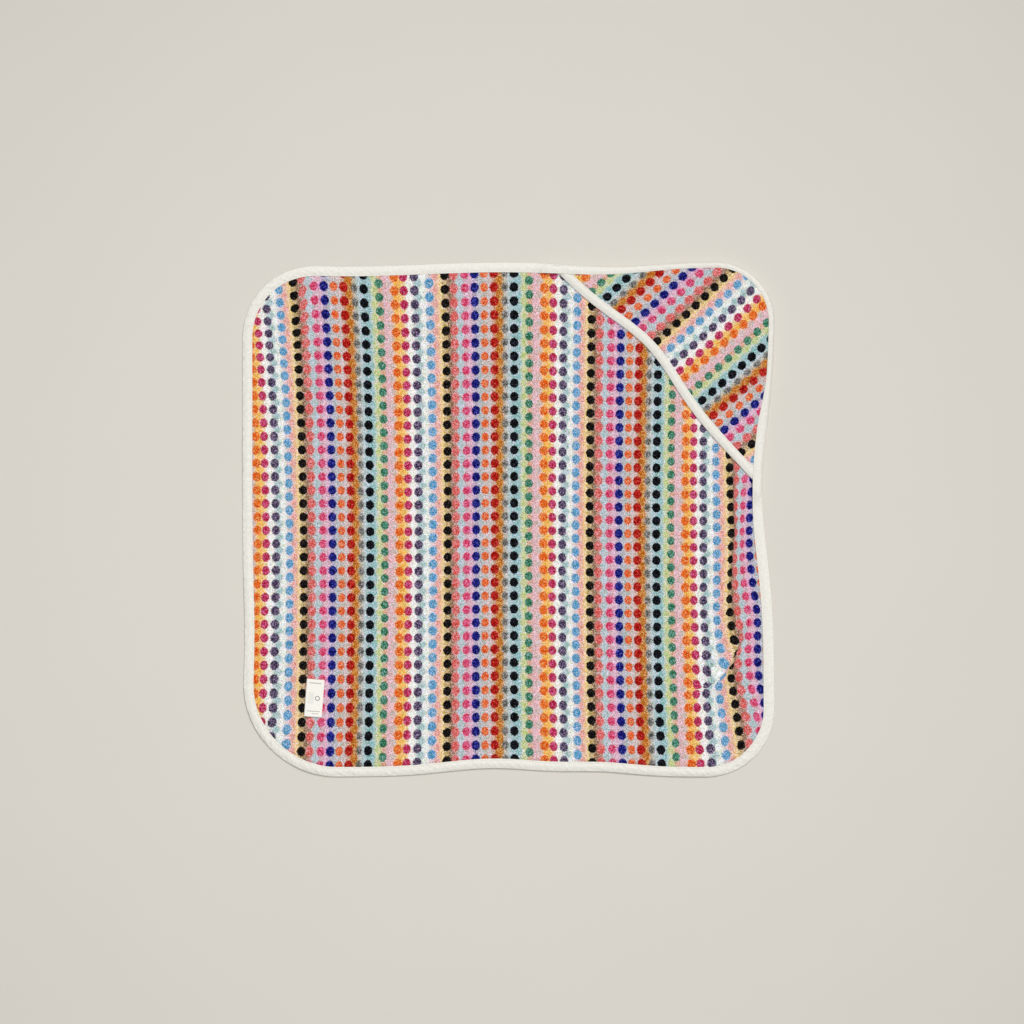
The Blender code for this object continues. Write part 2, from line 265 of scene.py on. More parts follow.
def lumps(x, y, size, seed):
    """Soft random bumps from -1 to 1, about size apart."""
    table = np.random.default_rng(seed).uniform(-1, 1, (256, 256))
    u, v = x / size + 91.3, y / size + 57.7
    i, k = np.floor(u).astype(int), np.floor(v).astype(int)
    a, b = smooth(u - i, 0, 1), smooth(v - k, 0, 1)
    corner = [[table[(i + p) % 256, (k + q) % 256] for q in (0, 1)] for p in (0, 1)]
    near = corner[0][0] * (1 - a) + corner[1][0] * a
    return near * (1 - b) + (corner[0][1] * (1 - a) + corner[1][1] * a) * b


# The line that each crease follows
UPPER_CREASE = ((0.3190, 0.080), (0.3185, -0.020), (0.315, -0.060), (0.311, -0.120))
LOWER_CREASE = (
    (0.338, -0.148),
    (0.328, -0.172),
    (0.316, -0.200),
    (0.303, -0.224),
    (0.280, -0.236),
    (0.250, -0.243),
)
# Each crease's line and height, and how far the cloth was pushed towards it: on its left at the
# line, how much more farther off on its left, and on its right
CREASES = (
    (UPPER_CREASE, 5.0 * MM, 4 * MM, 7 * MM, 6 * MM),
    (LOWER_CREASE, 4.8 * MM, 3 * MM, 0.0, 15 * MM),
)
# How far a crease's steep side, its easy side, its ends and its pull on the cloth reach
CREASE_STEEP = 1.8 * MM
CREASE_EASY = 12 * MM
CREASE_END = 9 * MM
PULL_LEFT = 20 * MM
PULL_RIGHT = 25 * MM

# The laid cloth's waves and the flutter near its edge: height and distance apart
WAVE, WAVES_APART = 0.5 * MM, 0.085
FLUTTER, FLUTTERS_APART = 1.3 * MM, 0.045


def beside_crease(x, y, path):
    """How far points lie to the left of a crease, how fully it reaches them and the way to its
    left."""
    line = evenly(np.array(path), 60)
    left = sideways(line, False)
    near = np.full(x.shape, np.inf)
    aside, along, left_x, left_y = (np.zeros(x.shape) for _ in range(4))
    for i, (point, way) in enumerate(zip(line, left, strict=True)):
        dx, dy = x - point[0], y - point[1]
        away = dx * dx + dy * dy
        closer = away < near
        near = np.where(closer, away, near)
        aside = np.where(closer, dx * way[0] + dy * way[1], aside)
        along = np.where(closer, i / (len(line) - 1), along)
        left_x, left_y = np.where(closer, way[0], left_x), np.where(closer, way[1], left_y)
    past_end = np.sqrt(np.maximum(near - aside**2, 0))
    rise = np.sin(math.pi * np.clip(along * 0.92 + 0.04, 0, 1))
    return aside, rise * np.exp(-((past_end / CREASE_END) ** 2)), left_x, left_y


def crease(x, y, path, height):
    """One fold of the laid cloth: a ridge that drops sharply on its right and eases off on its
    left."""
    aside, reach, _, _ = beside_crease(x, y, path)
    ridge = np.where(
        aside > CREASE_STEEP,
        np.exp(-(((aside - CREASE_STEEP) / CREASE_EASY) ** 2)),
        smooth(aside, -CREASE_STEEP, CREASE_STEEP),
    )
    return height * reach * ridge


def lie(x, y):
    """How far the laid cloth stands off the floor: long low waves, a flutter near the edge,
    creases."""
    waves = 0.5 + 0.5 * lumps(x, y, WAVES_APART, 5)
    edge = np.maximum(np.abs(x) / (WIDTH / 2), np.abs(y) / (DEPTH / 2))
    flutter = smooth(edge, 0.80, 1.0) * (0.5 + 0.5 * lumps(x, y, FLUTTERS_APART, 11))
    height = WAVE * waves + FLUTTER * flutter
    for path, high, *_ in CREASES:
        height = height + crease(x, y, path, high)
    return height


# ---------------------------------------------------------------- where the print falls


# Pulls on the panel's cloth: each is how far it moves the print, in mm, and the one or two ways in
# which it sets in, from one distance out to another. The first kind moves the print across its
# columns, the second along them.
PULLS_ACROSS = (
    (-1.4, ("right", 0.18, 0.23)),
    (-10.5, ("right", 0.25, 0.35), ("near", 0.19, 0.33)),
    (1.3, ("left", 0.30, 0.35), ("near", -0.15, -0.05)),
    (2.8, ("left", 0.30, 0.35), ("near", 0.02, 0.15)),
    (3.2, ("left", 0.30, 0.35), ("near", 0.25, 0.33)),
)
PULLS_ALONG = (
    (-4.0, ("right", 0.30, 0.345)),
    (-2.4, ("right", 0.27, 0.34), ("near", -0.05, 0.10)),
    (3.6, ("left", 0.05, 0.20), ("near", 0.20, 0.34)),
    (14.0, ("left", 0.275, 0.305), ("far", 0.19, 0.33)),
    (1.6, ("either side", 0.04, 0.12), ("far", 0.17, 0.27)),
)
# The printed cloth's place at the towel's middle, in mm, and the sag of its rows on the left and
# right
PRINT_ACROSS, PRINT_ALONG = 89.3, -4.8
SAG_LEFT, SAG_RIGHT = 4.2, 7.0


def pulled(pulls, x, y):
    """How far, in mm, the pulls move the print at each point."""
    out = {"right": x, "left": -x, "near": -y, "far": y, "either side": np.abs(x)}
    total = np.zeros(x.shape)
    for amount, *ramps in pulls:
        total += amount * np.prod([smooth(out[way], low, high) for way, low, high in ramps], axis=0)
    return total


def panel_print(x, y):
    """Where points of the laid panel are on the printed cloth: across its columns and along them.
    The cloth was pulled a little out of square as it was sewn and laid, and each crease takes some
    in."""
    a, b = x / (WIDTH / 2), y / (DEPTH / 2)
    drawn = 5.1 * a + 5.3 * a**2 + 10.2 * a**3 - 3 * a * b - 14.2 * a * b**2 + 5 * a**2 * b
    drawn += 1.4 * b**3 - 0.6 * b - 2.3 * np.exp(-(((x + 0.09) / 0.03) ** 2))
    sag = np.where(x < 0, SAG_LEFT, SAG_RIGHT) * (1 - np.exp(-((x / 0.110) ** 2)))
    sag += 6.4 * b - 8.6 * b**3 - (3 + 13 * y) * smooth(-x, 0.16, 0.26)
    across = x + (PRINT_ACROSS + drawn + pulled(PULLS_ACROSS, x, y)) * MM
    along = y + (PRINT_ALONG + sag + pulled(PULLS_ALONG, x, y)) * MM
    for path, _, at_line, farther, on_right in CREASES:
        aside, reach, left_x, left_y = beside_crease(x, y, path)
        to_right = -on_right * np.exp(np.minimum(aside, 0) / PULL_RIGHT)
        to_left = at_line + farther * smooth(aside, 0, PULL_LEFT)
        slid = reach * np.where(aside > 0, to_left, to_right)
        across, along = across + slid * left_x, along + slid * left_y
    return across, along


def hood_print(x, y):
    """Where points of the hood are on the printed cloth, which is turned about 45 degrees there. As
    on the panel, the sizes are in mm."""
    a, b = (x - 0.210) / 0.150, (y - 0.250) / 0.150
    across = -103.9 * a + 115.75 * b - 4.6 * a * b - 5.9 * b**2 - 0.74
    along = 102.6 * a + 115.9 * b - 0.77 + 0.196 * np.maximum(0, -across)
    return across * MM, along * MM


# ---------------------------------------------------------------- meshes


def piece(name, points, faces, looks, look_of_face=None, cloth=None, bake=None):
    """One mesh piece, smooth, with the cloth's own places as its UV map."""
    data = bpy.data.meshes.new(name)
    data.from_pydata(np.asarray(points).tolist(), [], [list(face) for face in faces])
    for look in looks:
        data.materials.append(look)
    if look_of_face is not None:
        data.polygons.foreach_set("material_index", np.asarray(look_of_face, np.int32))
    data.polygons.foreach_set("use_smooth", np.ones(len(data.polygons), bool))
    corners = np.empty(len(data.loops), np.int32)
    data.loops.foreach_get("vertex_index", corners)
    for map_name, places in (("cloth", cloth), ("OFBake", bake)):
        if places is not None:
            layer = data.uv_layers.new(name=map_name)
            layer.uv.foreach_set("vector", np.asarray(places)[corners].astype(np.float32).ravel())
    data.update()
    made = bpy.data.objects.new(name, data)
    bpy.context.scene.collection.objects.link(made)
    return made


def grid_faces(columns, rows):
    """The faces of a grid of points, given column by column, and its rim's points in order."""
    first = (np.arange(columns - 1)[:, None] * rows + np.arange(rows - 1)).ravel()
    faces = np.stack([first, first + rows, first + rows + 1, first + 1], axis=1)
    up, over = np.arange(rows - 1), np.arange(columns - 1)
    last = columns * rows - 1
    rim = np.concatenate([up, over * rows + rows - 1, last - up, (columns - 1 - over) * rows])
    return faces, rim


def closed_sheet(x, y, top, low, faces, rim):
    """The points and faces of a sheet between two heights: its top, its underside, then its
    sides."""
    count = len(x)
    after = np.roll(rim, -1)
    sides = np.stack([rim, after, after + count, rim + count], axis=1)
    points = np.concatenate([np.column_stack([x, y, top]), np.column_stack([x, y, low])])
    return points, np.concatenate([faces, faces[:, ::-1] + count, sides])


def square_grid(half):
    """A grid of (2 half + 1) points a side as rings round its middle: each point's ring, the
    quarter of the ring it is in and how far along that quarter it is, then the grid's faces and its
    rim."""
    span = np.arange(-half, half + 1)
    i, k = (m.ravel() for m in np.meshgrid(span, span, indexing="ij"))
    ring = np.maximum(np.abs(i), np.abs(k))
    safe = np.maximum(ring, 1) * 2.0
    on_right = (i == ring) & (k < ring)
    on_far = (k == ring) & (i > -ring)
    on_left = (i == -ring) & (k > -ring)
    quarter = np.select([on_right, on_far, on_left], [0, 1, 2], 3)
    share = np.select(
        [on_right, on_far, on_left],
        [(k + ring) / safe, (ring - i) / safe, (ring - k) / safe],
        (i + ring) / safe,
    )
    count = 2 * half + 1
    return ring, quarter, share, *grid_faces(count, count)


def laid_out(half, rings, marks):
    """The points of a square grid laid over a shape: its outermost rings follow the given rings one
    by one, and the others shrink evenly to the middle. marks are the four corners' places on a
    ring. Then each point's ring, counted from the outside, and the grid's faces and rim."""
    ring, quarter, share, faces, rim = square_grid(half)
    count = len(rings[0])
    marks = np.array([*marks, marks[0] + count], float)
    place = marks[quarter] + share * (marks[quarter + 1] - marks[quarter])
    depth = half - ring
    inner = len(rings) - 1
    points = np.zeros((len(ring), 2))
    centre = rings[-1].mean(axis=0)
    at = np.arange(count + 1)
    for i, line in enumerate(rings):
        closed = np.concatenate([line, line[:1]])
        chosen = depth >= inner if i == inner else depth == i
        where = place[chosen] % count
        points[chosen] = np.stack([np.interp(where, at, closed[:, k]) for k in range(2)], 1)
    deep = depth > inner
    scale = ring[deep, None] / (half - inner)
    points[deep] = centre + (points[deep] - centre) * scale
    return points, depth, faces, rim


# The pile's uneven height: how much and how far apart its bumps are, coarse and fine
RELIEF = ((0.20 * MM, 8 * MM), (0.14 * MM, 3.9 * MM))
# How far short of the tape's inner edge the pile starts to rise, and how far past it is at full
# height
PILE_STARTS, PILE_FULL = -0.9 * MM, 3.2 * MM
PILE_TOP = TERRY_T - 0.25 * MM
UNDERSIDE_RISE, UNDERSIDE_APART = 0.3 * MM, 10 * MM


def terry_sheet(name, grid, depths, floor, looks, print_at, seed):
    """A sheet of terry: full pile inside, crushed thin where the tape holds it. depths gives how
    far from the cloth's edge each of the outermost rings lies."""
    flat, depth, faces, rim = grid
    x, y = flat.T
    inset = np.array([*depths, depths[-1]])[np.minimum(depth, len(depths))]
    pile = smooth(inset, TAPE_WIDTH + PILE_STARTS, TAPE_WIDTH + PILE_FULL)
    bumps = [high * lumps(x, y, apart, seed + i) for i, (high, apart) in enumerate(RELIEF)]
    under = UNDERSIDE_RISE * pile * (0.5 + 0.5 * lumps(x, y, UNDERSIDE_APART, seed + 2))
    rest = floor + lie(x, y)
    top = rest + (MARGIN_LOW + MARGIN_T) * (1 - pile) + (PILE_TOP + sum(bumps)) * pile
    low = rest + MARGIN_LOW * (1 - pile) + under
    tops = len(faces)
    points, faces = closed_sheet(x, y, top, low, faces, rim)
    back = (np.arange(len(faces)) >= tops).astype(int)
    cloth = np.tile(np.column_stack(print_at(x, y)), (2, 1))
    share = (flat - flat.min(axis=0)) / np.ptp(flat, axis=0)
    up = 0.01 + 0.98 * share[:, 1]
    front_map = np.column_stack([0.01 + 0.62 * share[:, 0], up])
    back_map = np.column_stack([0.99 - 0.34 * share[:, 0], up])
    return piece(name, points, faces, looks, back, cloth, np.concatenate([front_map, back_map]))


# A folded tape's section, from the inner edge of its back round the towel's edge to the inner edge
# of its front and back inside: the inset in mm on a tape of full width, the height as a share of
# the way from its back to its front, and a lift in mm
TAPE_SECTION = (
    (14.0, 0.0, 0.25), (13.2, 0.0, 0.0), (11.8, 0.0, 0.22), (9.0, 0.0, 0.0), (5.0, 0.0, 0.0),
    (2.2, 0.0, 0.0), (0.9, 0.0, 0.1), (0.25, 0.06, 0.0), (0.0, 0.16, 0.0), (0.25, 0.30, 0.0),
    (0.9, 0.46, 0.0), (2.0, 0.64, 0.0), (3.4, 0.83, 0.0), (4.8, 0.97, 0.05), (6.2, 1.0, 0.26),
    (7.8, 1.0, 0.36), (9.4, 1.0, 0.30), (10.8, 1.0, 0.05), (11.8, 1.0, -0.24), (12.8, 1.0, 0.05),
    (13.5, 1.0, 0.05), (14.0, 1.0, -0.22), (13.9, 1.0, -0.62), (8.0, 1.0, -0.56), (5.4, 1.0, -0.62),
    (3.9, 0.55, -0.2), (3.9, 0.15, 0.45), (5.4, 0.0, 0.62), (8.0, 0.0, 0.60), (13.9, 0.0, 0.62),
)  # fmt: skip
# The gathers' slant, and how far apart the broad and the fine ones are
GATHER_SLANT = 1.3
GATHERS, FINE_GATHERS = 2.5 * MM, 1.8 * MM


def tape(name, line_at, length, width, low, top, pucker, closed, look):
    """A tape folded over an edge. line_at gives the edge's line at an inset, top the height of its
    front at each point, and pucker how much it gathers there."""
    count = len(line_at(0.0))
    along = np.linspace(0, length, count, endpoint=not closed)
    rows = []
    for inset, share, lift in TAPE_SECTION:
        inset = inset * MM * width / TAPE_WIDTH
        flat = line_at(inset)
        height = low + share * (top - low) + lift * MM
        slant = along + GATHER_SLANT * inset
        gather = lumps(slant, 0.30 * inset + 0 * along, GATHERS, 21)
        gather = gather + 0.5 * lumps(slant, along * 0.2, FINE_GATHERS, 22)
        # The seam and the fold hold the gathers down, and the back gathers less, the other way
        free = min(1.0, inset / (2 * MM)) * smooth(width - inset, 1.2 * MM, 4 * MM)
        side = 1.0 if share > 0.5 else -0.6
        height = height + side * pucker * gather * (0.35 + 0.65 * free)
        rows.append(np.column_stack([flat, height + lie(*flat.T)]))
    points = np.stack(rows, axis=1)
    sections = len(TAPE_SECTION)
    base = np.arange(count if closed else count - 1)[:, None] * sections
    following = (base + sections) % (count * sections)
    ring = np.arange(sections)[None]
    after = (ring + 1) % sections
    faces = np.stack([base + ring, following + ring, following + after, base + after], axis=-1)
    faces = faces.reshape(-1, 4).tolist()
    if not closed:
        faces.append(list(range(sections))[::-1])
        faces.append(list(range((count - 1) * sections, count * sections)))
    inset, share, lift = np.array(TAPE_SECTION).T
    step = np.hypot(np.diff(inset), np.diff(share) * (TAPE_TOP - TAPE_LOW) / MM + np.diff(lift))
    place = np.concatenate([[0.0], np.cumsum(step)])
    cloth = np.stack(np.broadcast_arrays(along[:, None], place[None] * MM), axis=-1)
    return piece(name, points.reshape(-1, 3), faces, [look], cloth=cloth.reshape(-1, 2))


# A stitch from end to end: place along it in its lengths, rise and thickness in thread radii
STITCH_SHAPE = (
    (-0.5, -0.9, 0.35),
    (-0.38, 0.2, 0.9),
    (0.0, 0.75, 1.0),
    (0.38, 0.2, 0.9),
    (0.5, -0.9, 0.35),
)
STITCH_SIDES = 6


def stitches(name, line, height, side, look):
    """A row of lockstitches along a line: short bowed lengths of thread that dip in at each end.
    side is 1 on the front and -1 on the back."""
    steps = np.linalg.norm(np.diff(line, axis=0), axis=1)
    along = np.concatenate([[0], np.cumsum(steps)])

    def on_line(at):
        return np.stack([np.interp(at, along, line[:, k]) for k in range(2)], axis=1)

    number = int(along[-1] / STITCH_PITCH)
    starts = (np.arange(number) + 0.5) * along[-1] / number
    turns = np.arange(STITCH_SIDES) * 2 * math.pi / STITCH_SIDES
    rings = []
    for place, rise, thick in STITCH_SHAPE:
        at = starts + place * STITCH_LENGTH
        flat = on_line(at)
        way = on_line(at + MM) - on_line(at - MM)
        way /= np.linalg.norm(way, axis=1, keepdims=True)
        level = np.interp(at, along, height) + lie(*flat.T) + side * rise * THREAD_R
        off, up = THREAD_R * thick * np.cos(turns), THREAD_R * thick * np.sin(turns)
        x = flat[:, :1] - way[:, 1:] * off
        y = flat[:, 1:] + way[:, :1] * off
        rings.append(np.stack([x, y, level[:, None] + up], axis=-1))
    points = np.stack(rings, axis=1)

    last = len(STITCH_SHAPE) - 1
    ring = (np.arange(last) * STITCH_SIDES)[:, None]
    here = np.arange(STITCH_SIDES)[None]
    after = (here + 1) % STITCH_SIDES
    beyond = ring + STITCH_SIDES
    one = np.stack([ring + here, ring + after, beyond + after, beyond + here], axis=-1)
    first = np.arange(number) * len(STITCH_SHAPE) * STITCH_SIDES
    faces = (one.reshape(1, -1, 4) + first[:, None, None]).reshape(-1, 4).tolist()
    for start in first.tolist():
        faces.append([start + k for k in range(STITCH_SIDES)][::-1])
        faces.append([start + last * STITCH_SIDES + k for k in range(STITCH_SIDES)])
    run = np.linspace(0, 1, len(STITCH_SHAPE)) * STITCH_LENGTH
    around = (turns * THREAD_R)[None, None, :]
    run = starts[:, None, None] + run[None, :, None]
    cloth = np.stack(np.broadcast_arrays(run, around), axis=-1)
    return piece(name, points.reshape(-1, 3), faces, [look], cloth=cloth.reshape(-1, 2))


# ---------------------------------------------------------------- materials


class Wire:
    """One output of a material's nodes. Python's own signs between wires and numbers work on
    them."""

    def __init__(self, look, socket):
        self.look, self.socket = look, socket

    def maths(self, operation, *values):
        inputs = dict(enumerate(values))
        return self.look.node("Math", {"operation": operation}, inputs)

    def __add__(self, other):
        return self.maths("ADD", self, other)

    __radd__ = __add__

    def __sub__(self, other):
        return self.maths("SUBTRACT", self, other)

    def __rsub__(self, other):
        return self.maths("SUBTRACT", other, self)

    def __mul__(self, other):
        return self.maths("MULTIPLY", self, other)

    __rmul__ = __mul__

    def __truediv__(self, other):
        return self.maths("DIVIDE", self, other)

    def __mod__(self, other):
        return self.maths("FLOORED_MODULO", self, other)

    def sine(self):
        return self.maths("SINE", self)

    def absolute(self):
        return self.maths("ABSOLUTE", self)


class Look:
    """A material in the making."""

    def __init__(self, name, **constants):
        self.material = bpy.data.materials.new(name)
        self.material.use_nodes = True
        self.tree = self.material.node_tree
        self.surface = self.tree.nodes["Principled BSDF"]
        for socket, value in constants.items():
            self.surface.inputs[socket.replace("_", " ")].default_value = value

    def join(self, socket, value):
        if isinstance(value, Wire):
            self.tree.links.new(value.socket, socket)
        else:
            socket.default_value = value

    def node(self, kind, settings, inputs, output=0):
        """Adds a node of any kind: its settings first, then its sockets' values or links."""
        made = self.tree.nodes.new("ShaderNode" + kind)
        for setting, value in settings.items():
            if setting == "stops":
                self.set_stops(made.color_ramp, value)
            else:
                setattr(made, setting, value)
        for socket, value in inputs.items():
            self.join(made.inputs[socket], value)
        return Wire(self, made.outputs[output])

    def set_stops(self, ramp, stops):
        for i, (place, colour) in enumerate(stops):
            stop = ramp.elements[i] if i < 2 else ramp.elements.new(place)
            stop.position = place
            stop.color = colour

    def mix(self, share, first, second, how="MIX"):
        settings = {"data_type": "RGBA", "blend_type": how}
        return self.node("Mix", settings, {0: share, 6: first, 7: second}, 2)

    def vector(self, operation, *values, output=0):
        return self.node("VectorMath", {"operation": operation}, dict(enumerate(values)), output)

    def parts(self, wire):
        return [self.node("SeparateXYZ", {}, {0: wire}, k) for k in range(3)]

    def joined(self, x, y, z=0.0):
        return self.node("CombineXYZ", {}, {0: x, 1: y, 2: z})

    def step(self, value, low, high):
        """0 to 1 as a value goes from low to high, with soft ends."""
        settings = {"interpolation_type": "SMOOTHSTEP"}
        return self.node("MapRange", settings, {0: value, 1: low, 2: high, 3: 0.0, 4: 1.0})

    def noise(self, place, scale, detail=2.0):
        settings = {"noise_dimensions": "3D"}
        return self.node("TexNoise", settings, {"Vector": place, "Scale": scale, "Detail": detail})

    def cloth_place(self):
        return self.node("UVMap", {"uv_map": "cloth"}, {})

    def finish(self, colour, roughness, height=None, strength=1.0, distance=MM):
        self.join(self.surface.inputs["Base Color"], colour)
        self.join(self.surface.inputs["Roughness"], roughness)
        if height is not None:
            inputs = {"Strength": strength, "Distance": distance, "Height": height}
            self.join(self.surface.inputs["Normal"], self.node("Bump", {}, inputs))
        return self.material


def dye(red, green, blue):
    """A dye by its strengths as seen, 0 to 255, as light."""
    seen = [part / 255 for part in (red, green, blue)]
    return (*[(c / 12.92 if c <= 0.04045 else ((c + 0.055) / 1.055) ** 2.4) for c in seen], 1.0)


# The print's ground across one repeat, from the middle of the black column: place in mm and dye
GROUND = (
    (0.0, (206, 178, 130)), (6.3, (158, 132, 110)), (12.7, (204, 162, 148)),
    (17.6, (222, 198, 202)), (21.5, (208, 204, 212)), (28.9, (218, 192, 200)),
    (36.0, (236, 198, 216)), (42.6, (196, 184, 208)), (50.0, (197, 202, 208)),
    (55.7, (206, 202, 196)), (64.0, (222, 206, 206)), (69.5, (216, 176, 150)),
    (74.0, (212, 138, 72)), (79.5, (204, 156, 90)), (84.6, (208, 202, 186)),
    (90.0, (200, 216, 220)), (97.3, (168, 202, 206)), (103.7, (176, 204, 202)),
    (108.0, (206, 222, 206)), (112.5, (218, 226, 180)), (118.5, (218, 200, 164)),
    (124.0, (232, 194, 202)), (131.0, (242, 200, 204)), (137.0, (240, 206, 164)),
    (144.0, (252, 202, 112)), (150.0, (248, 218, 150)), (158.7, (250, 242, 242)),
    (169.0, (198, 216, 218)), (177.5, (236, 243, 240)), (189.0, (236, 204, 210)),
    (195.5, (246, 206, 172)), (201.0, (250, 226, 166)),
)  # fmt: skip

# The printed spots: name, place across in mm, half a row down or not, half width and half height in
# mm, how soft the edge is as a share of them, and dye
SPOTS = (
    ("tan", 0.0, True, 4.6, 3.6, 0.8, (208, 184, 132)),
    ("tan again", 205.6, True, 4.6, 3.6, 0.8, (210, 186, 134)),
    ("brown", 6.6, True, 3.0, 4.2, 0.9, (168, 136, 108)),
    ("mint", 21.0, True, 5.4, 6.4, 0.4, (196, 211, 217)),
    ("ochre", 76.8, True, 5.0, 6.2, 0.6, (206, 132, 48)),
    ("aqua", 103.0, True, 4.0, 5.4, 0.8, (162, 203, 206)),
    ("pale grey", 131.5, True, 4.4, 4.6, 0.8, (220, 200, 197)),
    ("yellow", 143.5, True, 5.2, 4.4, 0.7, (252, 201, 108)),
    ("white", 159.0, True, 5.0, 6.4, 0.5, (251, 249, 245)),
    ("aqua grey", 172.0, True, 4.6, 4.6, 0.8, (184, 210, 211)),
    ("coral", 12.9, False, 5.8, 7.0, 0.35, (226, 115, 110)),
    ("pink", 29.0, False, 5.9, 6.2, 0.3, (222, 80, 122)),
    ("lilac", 37.0, False, 3.2, 5.0, 0.9, (228, 160, 204)),
    ("orange coral", 56.1, False, 5.4, 6.2, 0.3, (234, 115, 60)),
    ("grey", 84.6, False, 4.3, 5.8, 0.8, (118, 118, 113)),
    ("lime", 111.5, False, 4.6, 5.4, 0.8, (210, 218, 160)),
    ("salmon", 119.8, False, 3.6, 4.0, 0.8, (230, 184, 162)),
    ("deep orange", 139.4, False, 6.1, 6.6, 0.35, (236, 118, 38)),
    ("white bar", 177.0, False, 4.2, 6.4, 0.7, (246, 249, 245)),
    ("rose", 193.0, False, 3.8, 5.4, 0.8, (240, 182, 174)),
    ("black", 0.5, False, 6.1, 6.5, 0.12, (5, 3, 2)),
    ("black again", 206.1, False, 6.1, 6.5, 0.12, (5, 3, 2)),
    ("blue", 42.9, False, 6.0, 6.8, 0.15, (14, 20, 122)),
    ("red", 69.7, False, 6.1, 6.8, 0.2, (180, 20, 9)),
    ("blue black", 97.3, False, 6.1, 6.7, 0.12, (1, 2, 5)),
    ("green", 118.3, True, 5.7, 6.2, 0.25, (70, 138, 110)),
    ("crimson", 151.9, False, 5.7, 6.6, 0.22, (198, 58, 102)),
    ("slate", 166.3, False, 5.8, 6.7, 0.2, (90, 78, 107)),
    ("sky", 185.7, True, 5.7, 6.7, 0.25, (112, 172, 211)),
)  # fmt: skip

# The colour of undyed cotton where the print is worn through, also mixed onto the most lit loops as
# a painted glint
UNPRINTED_AND_GLINT = (236, 230, 220)


def terry_look(name, worn_through):
    """Printed terry: each loop of the pile takes one colour of the print, more or less deeply dyed
    than its neighbours, and is painted more or less lit, with painted shade between the loops and a
    painted glint on the most lit loops. worn_through is how much of the print is lost, as on the
    back."""
    look = Look(name, Sheen_Weight=0.03, Sheen_Roughness=0.6, Specular_IOR_Level=0.03)
    cloth = look.cloth_place()
    settings = {"voronoi_dimensions": "2D", "feature": "F1"}
    inputs = {"Vector": cloth, "Scale": 1 / LOOP, "Randomness": 0.9}
    from_middle = look.node("TexVoronoi", settings, inputs)
    chance = Wire(look, from_middle.socket.node.outputs["Color"])
    loop_at = Wire(look, from_middle.socket.node.outputs["Position"])
    across, along, _ = look.parts(loop_at)
    across = (across % REPEAT) / MM
    row = along / ROW
    from_row = ((row + 0.5) % 1.0 - 0.5) * (ROW / MM)
    from_half_row = (row % 1.0 - 0.5) * (ROW / MM)
    places = {False: look.joined(across, from_row), True: look.joined(across, from_half_row)}
    stops = [(place / (REPEAT / MM), dye(*colour)) for place, colour in GROUND]
    colour = look.node("ValToRGB", {"stops": stops}, {0: across * (MM / REPEAT)})
    for _, place, half_row, wide, high, soft, shade in SPOTS:
        settled = look.vector(
            "MULTIPLY_ADD", places[half_row], (1 / wide, 1 / high, 0), (-place / wide, 0, 0)
        )
        reach = look.vector("LENGTH", settled, output=1)
        inside = look.step(reach, 1 + soft / 2, 1 - soft / 2)
        colour = look.mix(inside, colour, dye(*shade))
    one, two, three = look.parts(chance)
    colour = look.node("Gamma", {}, {0: colour, 1: 0.40 + 1.4 * two})
    # Painted highlight: the loops painted most lit are lifted a little towards pale cotton as a
    # painted glint; worn_through mixes in the real unprinted cotton, as on the back.
    colour = look.mix(0.012 * three * three + worn_through, colour, dye(*UNPRINTED_AND_GLINT))
    tint = look.vector("MULTIPLY_ADD", chance, (0.30, 0.26, 0.32), (0.85, 0.87, 0.84))
    colour = look.vector("MULTIPLY", colour, tint)
    # Painted shade and light: the colour is darkened between the loops as painted shade, and each
    # loop is painted more or less lit by chance.
    between_loops = look.step(from_middle, 0.30, 0.75)
    light = (0.86 + 0.38 * three) * (1.0 - 0.40 * between_loops)
    colour = look.node("VectorMath", {"operation": "SCALE"}, {0: colour, 3: light})
    height = 1.0 - from_middle * from_middle * 1.6 + 0.35 * one
    return look.finish(colour, 0.92 + 0.06 * between_loops, height, 0.55, 0.55 * MM)


def weave(look, place, pitch):
    """A plain weave's over and under, 0 to 1."""
    along, across, _ = look.parts(place)
    turn = 2 * math.pi / pitch
    return (along * turn).sine() * (across * turn).sine() * 0.5 + 0.5


# How far apart the threads of the tape, the plies of the sewing thread and the label's wefts lie
TAPE_THREADS = 0.62 * MM
PLY = 0.55 * MM
WEFT = 0.45 * MM


def cotton_look():
    """The tape: a fine bias-cut cotton, its threads crossing the tape on the slant."""
    look = Look("binding_tape", Sheen_Weight=0.12, Sheen_Roughness=0.5)
    cloth = look.cloth_place()
    bias = {"Vector": cloth, "Angle": math.radians(45)}
    turned = look.node("VectorRotate", {"rotation_type": "Z_AXIS"}, bias)
    threads = weave(look, turned, TAPE_THREADS)
    uneven = look.noise(cloth, 260.0, 3.0)
    slub = look.noise(look.vector("MULTIPLY", turned, (2600.0, 260.0, 1.0)), 1.0, 2.0)
    colour = look.mix(look.step(uneven, 0.3, 0.7), dye(239, 237, 229), dye(248, 246, 240))
    colour = look.mix(look.step(slub, 0.55, 0.8) * 0.35, colour, dye(229, 226, 216))
    # Painted shade: the colour is darkened where the weave's threads dip under.
    colour = look.mix((1.0 - threads) * 0.14, colour, dye(200, 196, 184))
    height = threads + 0.6 * slub
    return look.finish(colour, 0.80 + 0.1 * uneven, height, 0.5, 0.16 * MM)


def thread_look():
    """Sewing thread: two plies twisted round one another."""
    look = Look("sewing_thread", Sheen_Weight=0.1)
    along, around, _ = look.parts(look.cloth_place())
    ply = (along * (2 * math.pi / PLY) + around * 9000.0).sine()
    # Painted shade: the colour is darker in the grooves between the twisted plies.
    colour = look.mix(ply * 0.5 + 0.5, dye(214, 208, 194), dye(240, 237, 228))
    return look.finish(colour, 0.62 + 0.08 * ply, ply, 0.5, 0.06 * MM)


